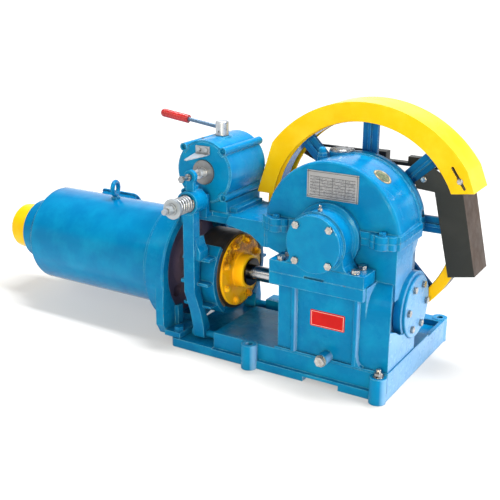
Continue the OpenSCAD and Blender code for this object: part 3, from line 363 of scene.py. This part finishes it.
ink = g.math("MAXIMUM", ink, bord)
field = g.ramp(g.noise(140.0, 4.0, 0.8, 0.0, g.stretch(1.4, 1, 2.4)), 0.44, 0.60)
col = g.mix(g.ramp(brush, 0.3, 0.7), (0.24, 0.25, 0.27), (0.38, 0.39, 0.41))
col = g.mix(g.math("MULTIPLY", g.math("MULTIPLY", field, area), 0.75), col, (0.10, 0.11, 0.13))
col = g.mix(g.math("MULTIPLY", ink, 0.8), col, (0.045, 0.05, 0.06))
g.set(Base_Color=col, Roughness=g.ramp(brush, 0.3, 0.7, 0.28, 0.45), Metallic=0.75)
g.bumps([(brush, 0.08, 0.0004)], bevel=0.0008)
M["plate_alu"] = g.m

# ---------------------------------------------------------------- finishes of the CAD pieces
use = {
    "cast_end": "base lower_housing worm_end_cap",
    "cast": "upper_case front_bearing_housing worm_seal_cover motor_adapter magnet_bridge magnet_housing front_brake_arm rear_brake_arm",
    "plate": "front_bearing_cover motor_frame motor_rear_cowl terminal_box breather_plug eye_bolt",
    "paint_bolt": "parting_bolts bracket_bolts arm_pivot_pins",
    "yellow": "sheave_guard hand_wheel",
    "oily_yellow": "coupling_flange coupling_pins",
    "sheave": "sheave",
    "lever": "release_lever",
    "seat": "spring_seats spring_rods pointer_plate",
    "zinc": "filler_cap front_adjusting_bolt rear_adjusting_bolt",
    "bolt": "cover_bolts foot_bolts worm_end_cap_bolts drain_plug guard_bolts grease_nipple",
    "spring": "front_spring rear_spring",
    "steel": "main_shaft worm rotor main_bearings line_bearings",
    "worm_shaft": "worm_shaft",
    "plunger": "front_plunger rear_plunger",
    "drum": "brake_drum",
    "iron": "worm_wheel_hub stator",
    "bronze": "worm_wheel_rim",
    "copper": "magnet_coil",
    "black": "guard_frame",
    "rope_guard": "rope_guard",
    "plum": "motor_end_shield",
    "lining": "front_lining rear_lining",
    "grip": "lever_grip",
    "plate_alu": "nameplate",
}
nodes = frame["nodes"]
def ob(n):
    o = nodes[n] if isinstance(nodes, dict) else None
    return o if hasattr(o, "material_slots") else bpy.data.objects[n]
for k, names in use.items():
    for n in names.split():
        o = ob(n)
        if not o.material_slots: o.data.materials.append(M[k])
        for s in o.material_slots: s.material = M[k]

# ---------------------------------------------------------------- extra pieces
def mesh_ob(name, bm, m, body="frame", smooth=35):
    me = bpy.data.meshes.new(name)
    bm.normal_update(); bm.to_mesh(me); bm.free()
    o = bpy.data.objects.new(name, me)
    bpy.context.scene.collection.objects.link(o)
    me.materials.append(m)
    for p in me.polygons: p.use_smooth = True
    me.set_sharp_from_angle(angle=math.radians(smooth))
    if body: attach(o, body)
    return o

def rounded_plate(name, x0, x1, z0, z1, y0, t, r, m, bev=0.0004):
    bm = bmesh.new()
    pts = []
    for cx, cz, a0 in ((x1 - r, z1 - r, 0), (x0 + r, z1 - r, 90), (x0 + r, z0 + r, 180), (x1 - r, z0 + r, 270)):
        for i in range(7):
            a = math.radians(a0 + i * 15)
            pts.append((cx + r * math.cos(a), cz + r * math.sin(a)))
    lo = [bm.verts.new((p[0], y0, p[1])) for p in pts]
    hi = [bm.verts.new((p[0], y0 - t, p[1])) for p in pts]
    n = len(pts)
    bm.faces.new(lo); bm.faces.new(hi[::-1])
    for i in range(n): bm.faces.new((lo[i], hi[i], hi[(i + 1) % n], lo[(i + 1) % n]))
    bmesh.ops.recalc_face_normals(bm, faces=bm.faces)
    top = [e for e in bm.edges if all(abs(v.co.y - (y0 - t)) < 1e-7 for v in e.verts)]
    bmesh.ops.bevel(bm, geom=top, offset=bev, segments=2, affect="EDGES")
    return mesh_ob(name, bm, m, "frame")

g = G("blank_red_label")
x, y, z = g.sep()
u = g.ramp(x, -0.017, 0.089); v = g.ramp(z, 0.171, 0.220)
a = g.noise(18.0, 5.0); b = g.noise(160.0, 3.0)
du = g.math("ABSOLUTE", g.math("SUBTRACT", u, 0.5)); dv = g.math("ABSOLUTE", g.math("SUBTRACT", v, 0.5))
inu = g.math("LESS_THAN", du, 0.470); inv = g.math("LESS_THAN", dv, 0.435)
ou = g.math("GREATER_THAN", du, 0.458); ov = g.math("GREATER_THAN", dv, 0.410)
line = g.math("MULTIPLY", g.math("MULTIPLY", inu, inv), g.math("MAXIMUM", ou, ov))
col = g.mix(g.ramp(a, 0.35, 0.7), (0.36, 0.003, 0.003), (0.47, 0.006, 0.005))
col = g.mix(g.math("MULTIPLY", line, 0.75), col, (0.80, 0.62, 0.58))
g.bsdf.inputs["Specular IOR Level"].default_value = 0.15
g.set(Base_Color=col, Roughness=g.ramp(b, 0.3, 0.7, 0.30, 0.48)); g.bumps([(b, 0.08, 0.0005)])
M["label"] = g.m
rounded_plate("blank_label", -0.017, 0.089, 0.171, 0.220, -0.2221, 0.0012, 0.004, M["label"])

# round blank sticker on the curved case
g = G("blank_sticker")
gx, gy, gz = g.sep()
ang = g.math("ARCTAN2", g.math("SUBTRACT", gz, 0.420), gx)
dv = g.math("MULTIPLY", g.math("SUBTRACT", ang, math.radians(54.9)), 0.206)
du = g.math("SUBTRACT", gy, -0.077)
du = g.math("MULTIPLY", du, 0.7778)
rr = g.math("SQRT", g.math("ADD", g.math("MULTIPLY", du, du), g.math("MULTIPLY", dv, dv)))
ring = g.math("MULTIPLY", g.math("GREATER_THAN", rr, 0.0215), g.math("LESS_THAN", rr, 0.0265))
a = g.noise(60.0, 5.0, 0.7); spk = g.noise(78.0, 3.0, 0.7)
col = g.mix(g.ramp(a, 0.35, 0.7), (0.085, 0.125, 0.060), (0.24, 0.26, 0.15))
col = g.mix(g.math("MULTIPLY", g.ramp(spk, 0.47, 0.52), 0.85), col, (0.025, 0.050, 0.035))
rc = g.mix(g.ramp(spk, 0.46, 0.56), (0.46, 0.38, 0.24), (0.16, 0.12, 0.07))
col = g.mix(ring, col, rc)
rim = g.math("ADD", g.math("MULTIPLY", g.math("GREATER_THAN", rr, 0.0192), g.math("LESS_THAN", rr, 0.0215)), g.math("GREATER_THAN", rr, 0.0262), clamp=True)
col = g.mix(g.math("MULTIPLY", rim, 0.9), col, (0.035, 0.050, 0.045))
g.set(Base_Color=col, Roughness=g.ramp(a, 0.3, 0.7, 0.35, 0.55)); g.bumps([(a, 0.12, 0.0004)])
M["sticker"] = g.m
bm = bmesh.new()
def on_case(dy, ds, lift):
    ym = -40 + dy
    rad = 210 - 10 * (ym + 104) / 158 + lift
    a = math.radians(54.9) + ds / 206.0
    return Vector((rad * math.cos(a) / 1000, (ym - 37) / 1000, 0.420 + rad * math.sin(a) / 1000))
rings = [[bm.verts.new(on_case(0, 0, 0.5))]]
for k, (q, l) in enumerate(((7, .5), (14, .5), (20, .5), (25, .5), (27.5, .42), (28, 0.02))):
    rings.append([bm.verts.new(on_case(q * 1.2857 * math.cos(2 * math.pi * i / 48), q * math.sin(2 * math.pi * i / 48), l)) for i in range(48)])
for i in range(48): bm.faces.new((rings[0][0], rings[1][i], rings[1][(i + 1) % 48]))
for k in range(1, len(rings) - 1):
    for i in range(48): bm.faces.new((rings[k][i], rings[k + 1][i], rings[k + 1][(i + 1) % 48], rings[k][(i + 1) % 48]))
bmesh.ops.recalc_face_normals(bm, faces=bm.faces)
mesh_ob("blank_sticker", bm, M["sticker"], "frame")

# turned solids
def turned(name, prof, centre, m, body="frame", n=48, axis="Z", hexa=None):
    """prof: (radius, height) pairs about the axis"""
    bm = bmesh.new()
    def P(r, h, a):
        c, s = math.cos(a), math.sin(a)
        if axis == "Z": v = (r * c, r * s, h)
        elif axis == "Y": v = (r * c, h, r * s)
        else: v = (h, r * c, r * s)
        return Vector(v) + Vector(centre)
    loops = []
    for r, h in prof:
        if r == 0: loops.append([bm.verts.new(P(0, h, 0))])
        else: loops.append([bm.verts.new(P(r, h, 2 * math.pi * i / n)) for i in range(n)])
    for a, b in zip(loops, loops[1:]):
        for i in range(n):
            j = (i + 1) % n
            if len(a) == 1 and len(b) == 1: continue
            if len(a) == 1: bm.faces.new((a[0], b[i], b[j]))
            elif len(b) == 1: bm.faces.new((a[i], b[0], a[j]))
            else: bm.faces.new((a[i], b[i], b[j], a[j]))
    bmesh.ops.recalc_face_normals(bm, faces=bm.faces)
    return mesh_ob(name, bm, m, body)

# brake springs: closed end turns, each one squeezed between its fixed seat and the swinging arm
def brake_spring(name, node, side):
    y_seat, y_arm = -0.262, -0.1863
    rm, rw, turns, per, k = 0.0215, 0.0046, 6.0, 40, 14
    n = int(turns * per)
    end = 0.8
    shut = 2 * rw * 1.005
    open_p = (abs(y_arm - y_seat) - 2 * rw - 2 * end * shut) / (turns - 2 * end)
    def along(t):
        if t < end: return t * shut
        if t > turns - end: return end * shut + (turns - 2 * end) * open_p + (t - turns + end) * shut
        return end * shut + (t - end) * open_p
    bm = bmesh.new()
    loops = []
    for i in range(n + 1):
        t = i / per
        a = 2 * math.pi * t + 0.6
        y = y_seat + rw + along(t)
        # ends ground down to a tip
        grind = min(1.0, 0.35 + 2.2 * min(t, turns - t))
        loop = []
        for j in range(k):
            b = 2 * math.pi * j / k
            r = rm + rw * math.cos(b)
            yy = y + rw * grind * math.sin(b)
            yy = min(max(yy, y_seat + 0.0003), y_arm - 0.0003)
            loop.append(bm.verts.new((-0.430 + r * math.cos(a), side * -yy - 0.037, 0.467 + r * math.sin(a))))
        loops.append(loop)
    for p, q in zip(loops, loops[1:]):
        for j in range(k): bm.faces.new((p[j], p[(j + 1) % k], q[(j + 1) % k], q[j]))
    bm.faces.new(loops[0][::-1]); bm.faces.new(loops[-1])
    bmesh.ops.recalc_face_normals(bm, faces=bm.faces)
    o = mesh_ob(name, bm, M["spring"], None, smooth=60)
    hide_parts(node)
    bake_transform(o)
brake_spring("front_spring_coil", "front_spring", -1)
brake_spring("rear_spring_coil", "rear_spring", 1)

# foundation stud with washer and nut on the front right boss
sx, sy, sz = 0.205, -0.245, 0.077
turned("foundation_washer", [(0.0078, 0), (0.0150, 0), (0.0155, 0.0005), (0.0155, 0.0020), (0.0150, 0.0025), (0.0078, 0.0025)], (sx, sy, sz), M["bolt"])
thread = [(0.0, -0.02), (0.0072, -0.02)]
h = -0.019
while h < 0.021:
    thread += [(0.0074, h), (0.0066, h + 0.001)]; h += 0.002
thread += [(0.0062, 0.0230), (0.0, 0.0235)]
turned("foundation_stud", thread, (sx, sy, sz), M["bolt"], n=36)
turned("foundation_nut", [(0.0075, 0.0026), (0.0110, 0.0026), (0.0125, 0.0036), (0.0125, 0.0120), (0.0110, 0.0132), (0.0075, 0.0132)], (sx, sy, sz), M["bolt"], n=6)

# ---------------------------------------------------------------- floor and light
bm = bmesh.new()
bmesh.ops.create_circle(bm, cap_ends=True, segments=96, radius=60.0)
me = bpy.data.meshes.new("floor"); bm.to_mesh(me); bm.free()
floor = bpy.data.objects.new("floor", me)
bpy.context.scene.collection.objects.link(floor)
floor.location.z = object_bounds()[0][2] - 0.0005
fm = bpy.data.materials.new("pale_floor"); fm.use_nodes = True
fb = fm.node_tree.nodes["Principled BSDF"]
fb.inputs["Base Color"].default_value = (0.50, 0.50, 0.50, 1)
fb.inputs["Roughness"].default_value = 0.8
fb.inputs["Emission Color"].default_value = (1, 1, 1, 1)
fg = fm.node_tree.nodes.new("ShaderNodeNewGeometry")
fl = fm.node_tree.nodes.new("ShaderNodeVectorMath"); fl.operation = "LENGTH"
fm.node_tree.links.new(fg.outputs["Position"], fl.inputs[0])
fr = fm.node_tree.nodes.new("ShaderNodeMapRange")
fm.node_tree.links.new(fl.outputs["Value"], fr.inputs["Value"])
for k, v in (("From Min", 0.8), ("From Max", 4.5), ("To Min", 0.32), ("To Max", 0.92)): fr.inputs[k].default_value = v
fm.node_tree.links.new(fr.outputs["Result"], fb.inputs["Emission Strength"])
me.materials.append(fm)

world = bpy.data.worlds.new("studio"); bpy.context.scene.world = world
world.use_nodes = True
bg = world.node_tree.nodes["Background"]
wt = world.node_tree
wc = wt.nodes.new("ShaderNodeTexCoord")
wd = wt.nodes.new("ShaderNodeVectorMath"); wd.operation = "DOT_PRODUCT"
wt.links.new(wc.outputs["Generated"], wd.inputs[0]); wd.inputs[1].default_value = (-0.518, 0.855, 0.0)
wr = wt.nodes.new("ShaderNodeMapRange")
wt.links.new(wd.outputs["Value"], wr.inputs["Value"])
for k, v in (("From Min", 0.70), ("From Max", 0.84), ("To Min", 0.22), ("To Max", 1.10)): wr.inputs[k].default_value = v
ws = wt.nodes.new("ShaderNodeSeparateXYZ"); wt.links.new(wc.outputs["Generated"], ws.inputs[0])
wh = wt.nodes.new("ShaderNodeMapRange")
wt.links.new(ws.outputs["Z"], wh.inputs["Value"])
for k, v in (("From Min", 0.16), ("From Max", 0.36), ("To Min", 1.02), ("To Max", 0.22)): wh.inputs[k].default_value = v
wm = wt.nodes.new("ShaderNodeMath"); wm.operation = "MAXIMUM"
wt.links.new(wr.outputs["Result"], wm.inputs[0]); wt.links.new(wh.outputs["Result"], wm.inputs[1])
wt.links.new(wm.outputs[0], bg.inputs[1])
bg.inputs[0].default_value = (0.97, 0.99, 1.0, 1)

def area(name, loc, target, size, power, colour=(1, 1, 1)):
    l = bpy.data.lights.new(name, "AREA"); l.shape = "RECTANGLE"; l.size, l.size_y = size; l.energy = power; l.color = colour
    o = bpy.data.objects.new(name, l); bpy.context.scene.collection.objects.link(o)
    o.location = loc
    o.rotation_euler = (Vector(target) - Vector(loc)).to_track_quat("-Z", "Y").to_euler()
    return o
area("top_softbox", (-0.3, 0.5, 3.0), (-0.3, 0, 0.3), (3.0, 0.45), 150)
area("right_softbox", (3.2, 0.1, 2.0), (0, 0, 0.35), (1.8, 1.8), 105)
area("front_fill", (-1.7, -2.7, 2.6), (-0.4, 0, 0.35), (2.2, 1.4), 26, (1.0, 0.92, 0.78))
area("gap_light", (0.5, -2.6, 0.75), (-0.36, -0.04, 0.22), (0.5, 0.5), 36, (1.0, 0.80, 0.45))
area("camera_fill", (1.7, -2.6, 1.4), (-0.3, 0, 0.3), (1.0, 1.0), 16)
